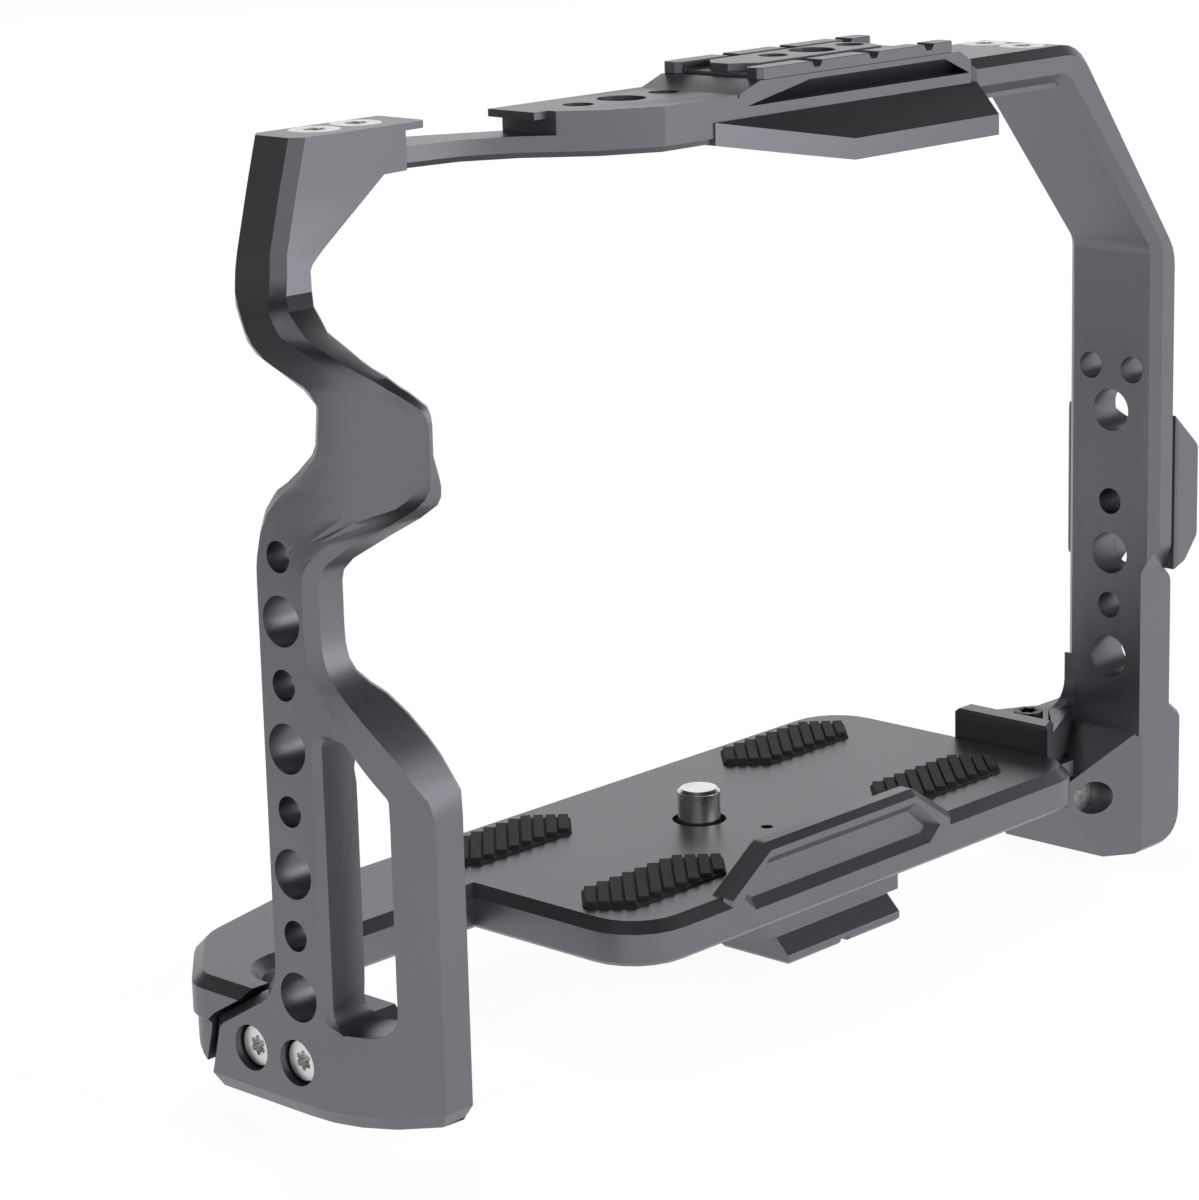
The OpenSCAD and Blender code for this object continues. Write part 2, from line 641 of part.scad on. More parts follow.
module top_bar() {
    low = [[-shoe_x + fit_gap, -bar_left_front], [-bar_bend_x, -bar_bend_front], bar_turn,
        bar_turn_low, bar_corner, [block_right - fit_gap, -bar_front],
        [block_right - fit_gap, -bar_back], [-shoe_wall, -bar_back + bar_bevel],
        [-bar_bend_x - bar_bevel, -bar_bend_y], [-shoe_x + fit_gap, -bar_left_back]];
    high = [[-shoe_wall, -bar_back + bar_bevel], [-shoe_wall, bar_turn[1] - shoe_lip - bar_step],
        bar_turn_low, bar_corner, [block_right - fit_gap, -bar_front],
        [block_right - fit_gap, -bar_back]];
    color(body_grey) difference() {
        union() {
            translate([0, 0, bar_low]) bevelled(low, floor_t, bar_bevel, 0);
            translate([0, 0, bar_low + floor_t - bar_bevel])
                linear_extrude(bar_t - floor_t + bar_bevel) polygon(high);
            box([-tongue_x, -tongue_front, bar_low], [-shoe_x + over, -tongue_back, bar_low + floor_t]);
            box([block_right - over, -right_tongue_front, bar_low],
                [right_tongue_x, -right_tongue_back, bar_low + floor_t]);
            // Lip over the right side of the accessory shoe
            box([-shoe_wall - shoe_lip + deck_run / 8, -bar_front + bar_back, cage_h - shoe_lip_t],
                [-shoe_wall + over, -bar_back + bar_bevel, cage_h]);
            // Raised deck with a ramp at each end
            along_y(-bar_back) linear_extrude(bar_front - bar_back) polygon([
                [-deck_left - deck_run, cage_h - over], [-deck_left - deck_run, cage_h],
                [-deck_left, cage_h + deck_t], [deck_right, cage_h + deck_t],
                [block_right - fit_gap, cage_h], [block_right - fit_gap, cage_h - over]]);
            hood();
        }
        // Long undercut in the front face, under the deck
        scoop = [[-scoop_left, cage_h - scoop_low], [scoop_end, cage_h - scoop_low],
            [scoop_end - scoop_end_run, cage_h + deck_t / 2],
            [-scoop_left + scoop_run, cage_h + deck_t / 2]];
        intersection() {
            along_y(-bar_front + scoop_deep + over) linear_extrude(scoop_deep + 2 * over)
                polygon(scoop);
            along_x(-scoop_left - over) linear_extrude(scoop_left + scoop_end + 2 * over) polygon([
                [-bar_front - over, cage_h - scoop_low], [-bar_front + scoop_deep, cage_h - scoop_low],
                [-bar_front, cage_h + deck_t / 2], [-bar_front - over, cage_h + deck_t / 2]]);
        }
        for (k = [-1:1])
            translate([bar_hole_x + k * hole_pitch, -bar_hole_y, bar_low - over])
                cylinder(h = bar_t + 2 * over, d = k == 0 ? quarter_d : locate_d);
        for (k = [-1:1])
            translate([rail_hole_x + k * hole_pitch, -rail_hole_y, bar_low - over])
                cylinder(h = bar_t + deck_t + 2 * over, d = k == 0 ? quarter_d : locate_d);
        for (p = rail_screw_places)
            translate([p[0], p[1], bar_low]) {
                translate([0, 0, -hood_drop])
                    cylinder(h = hood_drop + rail_head_t, r = rail_head_r + fit_gap * 2);
                cylinder(h = bar_t + deck_t + over, r = rail_shaft_r + shaft_gap);
            }
        for (p = grip_joint_places) translate([p[0], p[1], bar_low - over])
            cylinder(h = floor_t + 2 * over, r = joint_shaft_r + shaft_gap);
        for (y = side_joint_y) translate([side_joint_x, -y, bar_low - over])
            cylinder(h = floor_t + 2 * over, r = joint_shaft_r + shaft_gap);
    }
}

// Hood: a wedge below the bar's front edge
hood_top = 3.2;
hood_left = 25;
hood_right = 31;
hood_face = 32;
hood_back = 24;
hood_edge = 7.4;
hood_drop = 10.2;
hood_tip = 6.1;
hood_face_left = 1.6;

module hood() {
    hull() {
        for (x = [-hood_left, hood_right]) for (y = [hood_back, bar_front])
            translate([x, -y, cage_h - hood_top]) sphere_point();
        for (x = [-hood_face_left, hood_right - hood_face_left / 2])
            for (z = [hood_edge, hood_drop]) translate([x, -hood_face, cage_h - z]) sphere_point();
        for (y = [hood_back, bar_front])
            translate([-hood_left, -y, cage_h - hood_tip]) sphere_point();
        for (x = [-hood_face_left, hood_right])
            translate([x, -hood_back, cage_h - hood_drop]) sphere_point();
    }
}
point_size = 0.1;
module sphere_point() {
    cube(point_size, center = true);
}

// Mounting holes in the bar and the rail
bar_hole_x = -30.75;
bar_hole_y = 16.2;
rail_hole_x = 6.4;
rail_hole_y = 17.8;
rail_left = 15.7;
rail_right = 26.1;
rail_base = 0.5;
rail_row_back = [9.6, 12.8];
rail_row_front = [24.4, 27.5];
rail_mid = [13.9, 22.6];
rail_mid_left = 10.5;
rail_mid_right = 15.8;
rail_cut_x = [-4, 8.1, 20.3];
rail_cut_w = 2.4;
rail_slot_w = 6;
rail_screw_places = [[-8.5, -17.8], [11.2, -21.2]];
rail_screw_len = 8.2;
rail_head_r = 2.2;
rail_head_t = 1.9;
rail_shaft_r = 1.25;

module quick_release_rail() {
    base = cage_h + deck_t;
    tip = rail_slot_w / 2;
    color(body_grey) difference() {
        union() {
            box([-rail_left + tip / 2, -rail_row_front[1] + tip / 4, base],
                [rail_right - tip / 2, -rail_row_back[0] - tip / 4, base + rail_base]);
            for (row = [rail_row_back, rail_row_front])
                translate([0, 0, base]) linear_extrude(rail_h) polygon([
                    [-rail_left, -row[0] - tip / 4], [-rail_left, -row[1] + tip / 4],
                    [-rail_left + tip / 4, -row[1]], [rail_right - tip / 4, -row[1]],
                    [rail_right, -row[1] + tip / 4], [rail_right, -row[0] - tip / 4],
                    [rail_right - tip / 4, -row[0]], [-rail_left + tip / 4, -row[0]]]);
            translate([0, 0, base]) linear_extrude(rail_h) polygon([
                [-rail_mid_left - tip, -(rail_mid[0] + rail_mid[1]) / 2 + tip / 2],
                [-rail_mid_left - tip, -(rail_mid[0] + rail_mid[1]) / 2 - tip / 2],
                [-rail_mid_left, -rail_mid[1]], [rail_mid_right, -rail_mid[1]],
                [rail_mid_right + tip / 2, -(rail_mid[0] + rail_mid[1]) / 2 - tip / 2],
                [rail_mid_right + tip / 2, -(rail_mid[0] + rail_mid[1]) / 2 + tip / 2],
                [rail_mid_right, -rail_mid[0]], [-rail_mid_left, -rail_mid[0]]]);
        }
        // Notches across the front and back rows
        for (x = rail_cut_x) for (row = [rail_row_back, rail_row_front])
            along_y(-row[0] + over) linear_extrude(row[1] - row[0] + 2 * over) polygon([
                [x - rail_cut_w / 2 - over / 2, base + rail_h + over],
                [x - rail_cut_w / 4, base + rail_h / 2],
                [x + rail_cut_w / 4, base + rail_h / 2],
                [x + rail_cut_w / 2 + over / 2, base + rail_h + over]]);
        for (k = [-1:1])
            translate([rail_hole_x + k * hole_pitch, -rail_hole_y, base - over])
                cylinder(h = rail_h + 2 * over, d = k == 0 ? quarter_d : locate_d);
        for (p = rail_screw_places)
            translate([p[0], p[1], base - over])
                cylinder(h = rail_base + 2 * over, r = rail_shaft_r + shaft_gap);
    }
}

module rail_screws() {
    color(bright_steel) for (p = rail_screw_places)
        translate([p[0], p[1], bar_low]) rotate([180, 0, 0])
            pan_screw(rail_head_r, rail_head_t, rail_shaft_r, rail_screw_len, rail_shaft_r,
                joint_star_t);
}

// Screen-side arm
side_mid = 19;
side_top_x = 57;
side_corner_z = 76.9;
side_out = side_in + side_t;
side_low_out = 2.2;
side_low_z = 24;
side_inner_low = 77.2;
side_inner_top = 52.3;
side_r = 8;
side_small_r = 3;
side_front_low = 25;
side_step_z = 26;
side_step_run = 5;
side_block_low = 5.3;
side_joint_x = 49.8;
side_joint_y = [14.5, 21.5];
side_foot_top = 1;
foot_x = 67.1;
foot_out = 88;
foot_low = 19.9;
foot_rear = 1.5;
foot_under_x = 71.9;
foot_under_z = 11.4;
foot_facet_z = 7.3;
foot_diag_x = 77.2;
foot_diag_y = 17.9;
foot_r = 5;
stop_end = 12.2;
ledge_h = 2.6;
ledge_run = 3;
bridge_r = 4.2;
set_x = 70.6;
set_z = 10;
set_d = 5.3;
set_len = 11;
set_front = 18;

module side_profile() {
    z1 = cage_h;
    pts = soft([
        [side_in, -over, 0], [side_out + side_low_out, -over, 0],
        [side_out + side_low_out, side_low_z, side_r / 4],
        [side_out, side_low_z + side_low_out, side_r / 4],
        [side_out, side_corner_z, side_r], [side_top_x, z1, side_r],
        [block_right, z1, 0], [block_right, z1 - side_block_low, 0],
        [side_inner_top, z1 - side_block_low, side_small_r],
        [side_in, side_inner_low, side_small_r]]);
    along_y(-side_mid + side_w / 2) bevelled(pts, side_w, side_bevel, side_bevel);
}

module side_foot() {
    plan = [[foot_x, -foot_rear], [foot_x, -foot_diag_y], [foot_diag_x, -side_front_low],
        [foot_out, -side_front_low], [foot_out, -foot_rear]];
    front = soft([
        [foot_x, -foot_facet_z, 0], [foot_x, -foot_under_z, 0], [foot_under_x, -foot_low, 0],
        [foot_out, -foot_low, foot_r], [foot_out, side_foot_top, side_small_r / 3],
        [side_out + side_low_out, side_foot_top + side_bevel * 2, 0],
        [side_in, side_foot_top + side_bevel, 0],
        [side_in, 0, 0]]);
    difference() {
        intersection() {
            translate([0, 0, -foot_low - over]) linear_extrude(foot_low + side_r + over) polygon(plan);
            along_y(-foot_rear)
                bevelled(front, side_front_low - foot_rear, side_bevel / 2, side_bevel / 2);
        }
        box([side_in - over, -side_mid + side_w / 2, -side_foot_top / 2], [foot_out + over, over, side_r]);
    }
    // Behind the facet the foot stays full height
    box([foot_x, -stop_end, -foot_under_z], [side_in + side_t / 2, -foot_rear, -side_foot_top / 2]);
}

// Stop block over the plate's tongue: a wall at the plate's end and a ledge behind it, with a
// diagonal front face, and a fillet up to the arm
module stop_block() {
    low = -plate_t + tongue_t;
    rear = -side_mid + side_w / 2;
    slope = (wall_front - stop_end) / (side_in - wall_x);
    translate([0, 0, low]) linear_extrude(ledge_h - low) polygon([
        [wall_x, -wall_back], [wall_x, -wall_front], [side_in + over, -stop_end + over * slope],
        [side_in + over, rear], [wall_x + wall_t + ledge_run, -wall_back]]);
    translate([0, 0, low]) bevelled([
        [wall_x, -wall_back], [wall_x, -wall_front],
        [wall_x + wall_t, -wall_front + wall_t * slope], [wall_x + wall_t, -wall_back]],
        wall_h - low, 0, side_bevel / 3);
    along_y(rear) linear_extrude(stop_end + rear) polygon(soft([
        [side_in - 2 * bridge_r, ledge_h, 0], [side_in - 2 * bridge_r, 0, 0],
        [side_in + over, 0, 0], [side_in + over, ledge_h + 2 * bridge_r, 0],
        [side_in, ledge_h + 2 * bridge_r, 0], [side_in, ledge_h, bridge_r]]));
}

module screen_side_arm() {
    color(body_grey) difference() {
        union() {
            difference() {
                side_profile();
                // The front face steps back low down
                along_x(block_right) linear_extrude(foot_out) polygon([
                    [-side_front_low, -foot_low], [-side_front_low, side_step_z],
                    [-side_mid - side_w / 2 - over, side_step_z + side_step_run],
                    [-side_mid - side_w / 2 - over, -foot_low]]);
            }
            side_foot();
            stop_block();
        }
        // Room for the plate's tongue
        box([wall_x - over, -wall_front + wall_back - tongue_gap, -plate_t - over],
            [wall_x + tongue_len + tongue_gap, -wall_back - wall_back + tongue_gap, -plate_t + tongue_t]);
        translate([joint_x, -joint_y, -plate_t])
            cylinder(h = plate_t + ledge_h + over, r = plate_joint_r + shaft_gap);
        for (z = side_quarter_z) translate([side_in - over, -side_mid, z]) rotate([0, 90, 0])
            cylinder(h = side_t + receiver_t + 2 * over, d = quarter_d - shaft_gap);
        for (z = side_locate_z) translate([side_in - over, -side_mid, z]) rotate([0, 90, 0])
            cylinder(h = side_t + receiver_t + 2 * over, d = locate_d);
        for (s = [-1, 1])
            translate([side_in - over, -side_mid + s * side_pair / 2, side_pair_z]) rotate([0, 90, 0])
                cylinder(h = side_t + 2 * over, d = locate_d);
        for (y = side_screw_y) translate([side_in + side_blind, -y, side_screw_z]) rotate([0, 90, 0])
            cylinder(h = side_t, r = side_screw_r + shaft_gap);
        for (y = side_joint_y) translate([side_joint_x, -y, cage_h])
            sunk_seat(joint_head_r, joint_cone_t, joint_shaft_r, bar_t);
        // Pocket for the bar's right tongue
        box([block_right - over, -right_tongue_front - fit_gap, bar_low - over],
            [right_tongue_x + fit_gap, -right_tongue_back + fit_gap, bar_low + floor_t + fit_gap]);
        translate([set_x, -side_front_low - over, -set_z]) rotate([-90, 0, 0])
            cylinder(h = side_front_low - set_front + set_len + 2 * over, d = set_d);
    }
}
side_quarter_z = [11.8, 28.5, 51.3];
side_locate_z = [20.1, 36.8];
side_pair = 7.7;
side_pair_z = 58;
side_screw_z = 44;
side_screw_y = [14.5, 23.5];
side_screw_r = 1.5;
side_blind = 1.4;

module screen_arm_top_screws() {
    color(bright_steel) for (y = side_joint_y) translate([side_joint_x, -y, cage_h])
        sunk_screw(joint_head_r, joint_cone_t, joint_shaft_r, joint_screw_len,
            joint_star_r, joint_star_t);
}

module foot_set_screw() {
    r = set_d / 2 - shaft_gap;
    color(bright_steel) translate([set_x, -set_front, -set_z]) rotate([90, 0, 0])
        pan_screw(r, set_len / 2, r, set_len, small_star_r, joint_star_t);
}

// Side receiver: a quick-release block on the arm's outer face
receiver_low = 25.8;
receiver_high = 50.4;
receiver_back = 6.4;
receiver_run = 3.4;
receiver_slope = 5.4;
receiver_rise = 4.6;
receiver_head_r = 2.8;
receiver_head_t = 2.6;

module side_receiver() {
    pts = soft([
        [side_out, receiver_low, 0],
        [side_out + receiver_t - receiver_run, receiver_low + receiver_run / 4, receiver_run / 2],
        [side_out + receiver_t, receiver_low + receiver_rise, receiver_run / 2],
        [side_out + receiver_t, receiver_high - receiver_slope, receiver_run / 2],
        [side_out, receiver_high, 0]]);
    color(body_grey) difference() {
        along_y(-receiver_back) bevelled(pts, side_mid + side_w / 2 - receiver_back,
            side_bevel / 3, side_bevel / 3);
        for (z = side_quarter_z) translate([side_out - over, -side_mid, z]) rotate([0, 90, 0])
            cylinder(h = receiver_t + 2 * over, d = quarter_d - shaft_gap);
        for (z = side_locate_z) translate([side_out - over, -side_mid, z]) rotate([0, 90, 0])
            cylinder(h = receiver_t + 2 * over, d = locate_d);
        for (y = side_screw_y) translate([side_out - over, -y, side_screw_z]) rotate([0, 90, 0]) {
            cylinder(h = receiver_t + 2 * over, r = side_screw_r + shaft_gap);
            translate([0, 0, receiver_t - receiver_head_t - over])
                cylinder(h = receiver_head_t + 3 * over, r = receiver_head_r + fit_gap * 2);
        }
    }
}

module side_receiver_screws() {
    color(bright_steel) for (y = side_screw_y)
        translate([side_out + receiver_t - 2 * over, -y, side_screw_z]) rotate([0, 90, 0])
            pan_screw(receiver_head_r, receiver_head_t - over, side_screw_r,
                side_t + receiver_t - 3 * over - side_blind, small_star_r, joint_star_t);
}

// Dovetail foot plate under the base plate
neck_half = 16.65;
neck_z = 14.15;
lip_z = 16.5;
foot_cut = 6.4;
foot_plan_cut = 4;
foot_flange_x = 2.4;
foot_step = 2;
foot_neck_run = 2.6;
foot_notch_x = 10.5;
foot_notch_w = 2;
foot_notch_t = 0.8;
screw_bore_r = 6.5;
screw_seat = 0.2;

module dovetail_plate() {
    top = plate_t;
    low = plate_t + foot_h;
    half = foot_w / 2;
    side = [[-neck_half, -top], [-neck_half, -neck_z], [-half, -lip_z], [-half, -low],
        [half, -low], [half, -lip_z], [neck_half, -neck_z], [neck_half, -top]];
    body = [[-foot_left, -half + foot_cut], [-foot_left + foot_plan_cut, -neck_half],
        [foot_right + foot_neck_run, -neck_half], [foot_right + foot_neck_run, neck_half],
        [-foot_left + foot_plan_cut, neck_half],
        [-foot_left, half - foot_cut]];
    flange = soft([[-foot_flange_x, -half, 0], [foot_right, -half, 0], [foot_right, half, 0],
        [-foot_flange_x, half, 0]]);
    color(body_grey) difference() {
        union() {
            translate([0, 0, -neck_z]) linear_extrude(neck_z - top) polygon(body);
            intersection() {
                along_x(-foot_flange_x) linear_extrude(foot_right + foot_flange_x) polygon(side);
                translate([0, 0, -low]) bevelled(flange, foot_h, foot_step / 4, 0);
            }
        }
        translate([0, 0, -low - over]) cylinder(h = foot_h + 2 * over, r = screw_bore_r);
        translate([0, 0, -ring_z - ring_t - fit_gap])
            cylinder(h = ring_t + 2 * fit_gap, r = ring_r + fit_gap);
        for (s = [-1, 1]) translate([foot_notch_x - foot_notch_w / 2, s * half - foot_notch_w, -low - over])
            cube([foot_notch_w, foot_notch_w * 2, foot_notch_t + over]);
        for (x = foot_screw_x) for (s = [-1, 1]) translate([x, s * foot_screw_y, -low]) {
            translate([0, 0, -over]) cylinder(h = low - foot_head_z + over, r = foot_head_r + fit_gap);
            cylinder(h = foot_h + over, r = foot_screw_r + shaft_gap);
        }
    }
}

module dovetail_screws() {
    color(bright_steel) for (x = foot_screw_x) for (s = [-1, 1])
        translate([x, s * foot_screw_y, -foot_head_z - foot_head_t]) rotate([180, 0, 0])
            pan_screw(foot_head_r, foot_head_t, foot_screw_r, foot_screw_len, foot_screw_r,
                foot_head_t / 2);
}

// Retaining ring, washer and captive screw
head_t = 3;
washer_t = 0.4;
ring_t = 0.9;
ring_r = 7.1;
ring_hole_r = 4.6;
ring_gap = 0.3;
ring_z = plate_t + washer_t + screw_seat + head_t + screw_travel + ring_gap;
neck_d = 5.2;
thread_low = 1.2;
tip_bevel = 0.5;

module screw_retaining_ring() {
    color(bright_steel) translate([0, 0, -ring_z - ring_t]) difference() {
        cylinder(h = ring_t, r = ring_r);
        translate([0, 0, -over]) cylinder(h = ring_t + 2 * over, r = ring_hole_r);
        box([-ring_hole_r / 3, 0, -over], [ring_hole_r / 3, ring_r + over, ring_t + over]);
    }
}

module camera_screw_washer() {
    color(rubber_black) translate([0, 0, -plate_t - screw_seat / 2 - washer_t]) difference() {
        cylinder(h = washer_t, r = head_d / 2 - screw_seat);
        translate([0, 0, -over]) cylinder(h = washer_t + 2 * over, r = shank_d / 2 + shaft_gap);
    }
}

module camera_screw() {
    slot_w = 1.6;
    slot_t = 1.5;
    top = screw_rise;
    head_top = -plate_t - screw_seat - washer_t;
    color(bright_steel) difference() {
        rotate_extrude() polygon([
            [0, top], [screw_d / 2 - tip_bevel, top], [screw_d / 2, top - tip_bevel],
            [screw_d / 2, -thread_low], [shank_d / 2, -thread_low - tip_bevel],
            [shank_d / 2, head_top], [head_d / 2, head_top],
            [head_d / 2, head_top - head_t], [0, head_top - head_t]]);
        box([-head_d, -slot_w / 2, head_top - head_t - over],
            [head_d, slot_w / 2, head_top - head_t + slot_t]);
    }
}

module pad_front_left() {
    pad(-pad_left_x, -pad_dy);
}

module pad_front_right() {
    pad(pad_right_x, -pad_dy);
}

module pad_back_left() {
    pad(-pad_left_x, pad_dy);
}

module pad_back_right() {
    pad(pad_right_x, pad_dy);
}

base_plate();
grip_side_arm();
top_bar();
screen_side_arm();
side_receiver();
side_receiver_screws();
quick_release_rail();
rail_screws();
dovetail_plate();
dovetail_screws();
pad_front_left();
pad_front_right();
pad_back_left();
pad_back_right();
grip_arm_top_screws();
grip_arm_foot_screws();
screen_arm_top_screws();
plate_joint_screw();
foot_set_screw();
screw_retaining_ring();
camera_screw_washer();
camera_screw();
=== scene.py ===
from math import radians, sin, cos
import bpy
import bmesh
from mathutils import Matrix, Vector


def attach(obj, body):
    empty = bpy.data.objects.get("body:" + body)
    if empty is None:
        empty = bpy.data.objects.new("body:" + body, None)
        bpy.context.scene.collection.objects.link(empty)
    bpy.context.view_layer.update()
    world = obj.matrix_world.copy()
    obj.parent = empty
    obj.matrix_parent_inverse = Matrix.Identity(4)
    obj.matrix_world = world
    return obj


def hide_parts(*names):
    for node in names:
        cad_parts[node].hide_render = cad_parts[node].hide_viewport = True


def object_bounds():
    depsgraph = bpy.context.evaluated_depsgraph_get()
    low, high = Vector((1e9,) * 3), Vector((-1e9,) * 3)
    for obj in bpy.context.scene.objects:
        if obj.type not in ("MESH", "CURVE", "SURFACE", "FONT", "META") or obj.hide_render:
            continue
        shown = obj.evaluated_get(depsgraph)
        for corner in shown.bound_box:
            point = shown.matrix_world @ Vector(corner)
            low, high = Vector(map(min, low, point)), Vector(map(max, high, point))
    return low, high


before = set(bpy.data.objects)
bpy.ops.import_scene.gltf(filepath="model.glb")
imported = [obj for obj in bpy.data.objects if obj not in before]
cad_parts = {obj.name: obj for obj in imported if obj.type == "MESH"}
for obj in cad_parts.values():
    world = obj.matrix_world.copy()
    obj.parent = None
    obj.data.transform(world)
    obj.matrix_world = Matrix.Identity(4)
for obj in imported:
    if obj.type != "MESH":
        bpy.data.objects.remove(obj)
cad_box = [[float(v) for v in corner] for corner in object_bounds()]
mm = 0.001

# ---- Camera ----
# Stands where the photograph was taken from: in front, on the grip side and a little above,
# with a long lens, and leans by a degree and a half.
eye = bpy.data.objects.new("eye", bpy.data.cameras.new("eye"))
bpy.context.collection.objects.link(eye)
bpy.context.scene.camera = eye
eye.data.lens = 111.76
eye.data.sensor_width = 36
eye.data.clip_start = 0.01
eye.data.clip_end = 50
turn, rise, lean = radians(-46.6318), radians(14.0928), radians(-1.4503)
back = Vector((sin(turn) * cos(rise), -cos(turn) * cos(rise), sin(rise)))
right = Vector((0, 0, 1)).cross(back).normalized()
up = back.cross(right)
leaned_right = cos(lean) * right + sin(lean) * up
leaned_up = back.cross(leaned_right)
sight = Matrix((leaned_right, leaned_up, back)).transposed().to_4x4()
sight.translation = Vector((-0.39120, -0.35041, 0.16540))
eye.matrix_world = sight

# ---- Base plate ----
# A 6 mm plate milled from 6061 aluminium, bead-blasted and anodised dark grey. The camera
# stands on it. Its left end hooks round the foot of the grip-side arm.


def linear(code):
    parts = [int(code[i:i + 2], 16) / 255 for i in (1, 3, 5)]
    return [c / 12.92 if c <= 0.04045 else ((c + 0.055) / 1.055) ** 2.4 for c in parts] + [1]


def add(tree, kind, settings=None, links=None, **sockets):
    node = tree.nodes.new(kind)
    for key, value in (settings or {}).items():
        setattr(node, key, value)
    for key, value in sockets.items():
        node.inputs[key.replace("_", " ")].default_value = value
    for key, source in (links or {}).items():
        tree.links.new(source, node.inputs[key])
    return node


def finish_named(name):
    material = bpy.data.materials.new(name)
    material.use_nodes = True
    material.node_tree.nodes.clear()
    return material, material.node_tree


def machined(node, name, edge, sharp=27, flat_turn=0.6):
    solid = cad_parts[node]
    bm = bmesh.new()
    bm.from_mesh(solid.data)
    bmesh.ops.remove_doubles(bm, verts=bm.verts, dist=0.003 * mm)
    bmesh.ops.dissolve_limit(bm, angle_limit=radians(flat_turn), verts=bm.verts, edges=bm.edges,
                             use_dissolve_boundaries=False, delimit=set())
    for face in bm.faces:
        face.smooth = True
    for line in bm.edges:
        if len(line.link_faces) == 2 and line.calc_face_angle() > radians(sharp):
            line.smooth = False
    mesh = bpy.data.meshes.new(name)
    bm.to_mesh(mesh)
    bm.free()
    piece = bpy.data.objects.new(name, mesh)
    bpy.context.collection.objects.link(piece)
    rounding = piece.modifiers.new("broken_edges", "BEVEL")
    rounding.width = edge
    rounding.segments = 2
    rounding.limit_method = "ANGLE"
    rounding.angle_limit = radians(sharp)
    rounding.use_clamp_overlap = True
    rounding.harden_normals = True
    return piece


# Bead-blasted anodised aluminium: an even dark grey with a soft broad sheen and a fine grain
# that only shows close up. The beads' 0.1 mm dimples are drawn 0.3 mm wide so that they show.
anodised, tree = finish_named("anodised_aluminium")
place = add(tree, "ShaderNodeTexCoord")
grain = add(tree, "ShaderNodeTexNoise", {"noise_dimensions": "3D"},
            {"Vector": place.outputs["Object"]}, Scale=3300, Detail=3, Roughness=0.6)
cloud = add(tree, "ShaderNodeTexNoise", {"noise_dimensions": "3D"},
            {"Vector": place.outputs["Object"]}, Scale=45, Detail=4, Roughness=0.55)
shade = add(tree, "ShaderNodeMix", {"data_type": "RGBA"}, {"Factor": cloud.outputs["Fac"]})
shade.inputs[6].default_value = linear("#707176")
shade.inputs[7].default_value = linear("#77787d")
gloss = add(tree, "ShaderNodeMapRange", None, {"Value": grain.outputs["Fac"]},
            From_Min=0.3, From_Max=0.7, To_Min=0.33, To_Max=0.42)
dimples = add(tree, "ShaderNodeBump", None, {"Height": grain.outputs["Fac"]},
              Strength=0.10, Distance=0.00004)
body = add(tree, "ShaderNodeBsdfPrincipled", None,
           {"Base Color": shade.outputs[2], "Roughness": gloss.outputs["Result"],
            "Normal": dimples.outputs["Normal"]}, Metallic=0.92)
add(tree, "ShaderNodeOutputMaterial", None, {"Surface": body.outputs["BSDF"]})

plate = machined("base_plate", "milled_base_plate", 0.25 * mm)
plate.data.materials.append(anodised)
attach(plate, "frame")
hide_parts("base_plate")

# ---- Rubber pads ----
# Four moulded black rubber pads glued into pockets in the plate. Each has eleven ribs across it
# at an angle, whose square ends step along its sides, and stands 0.9 mm above the plate.
rubber, tree = finish_named("moulded_rubber")
place = add(tree, "ShaderNodeTexCoord")
skin = add(tree, "ShaderNodeTexNoise", {"noise_dimensions": "3D"},
           {"Vector": place.outputs["Object"]}, Scale=2500, Detail=4, Roughness=0.65)
tone = add(tree, "ShaderNodeMix", {"data_type": "RGBA"}, {"Factor": skin.outputs["Fac"]})
tone.inputs[6].default_value = linear("#1b1b1c")
tone.inputs[7].default_value = linear("#2a2a2b")
dull = add(tree, "ShaderNodeMapRange", None, {"Value": skin.outputs["Fac"]},
           From_Min=0.3, From_Max=0.7, To_Min=0.62, To_Max=0.78)
pores = add(tree, "ShaderNodeBump", None, {"Height": skin.outputs["Fac"]},
            Strength=0.25, Distance=0.00006)
body = add(tree, "ShaderNodeBsdfPrincipled", None,
           {"Base Color": tone.outputs[2], "Roughness": dull.outputs["Result"],
            "Normal": pores.outputs["Normal"]}, IOR=1.52)
add(tree, "ShaderNodeOutputMaterial", None, {"Surface": body.outputs["BSDF"]})

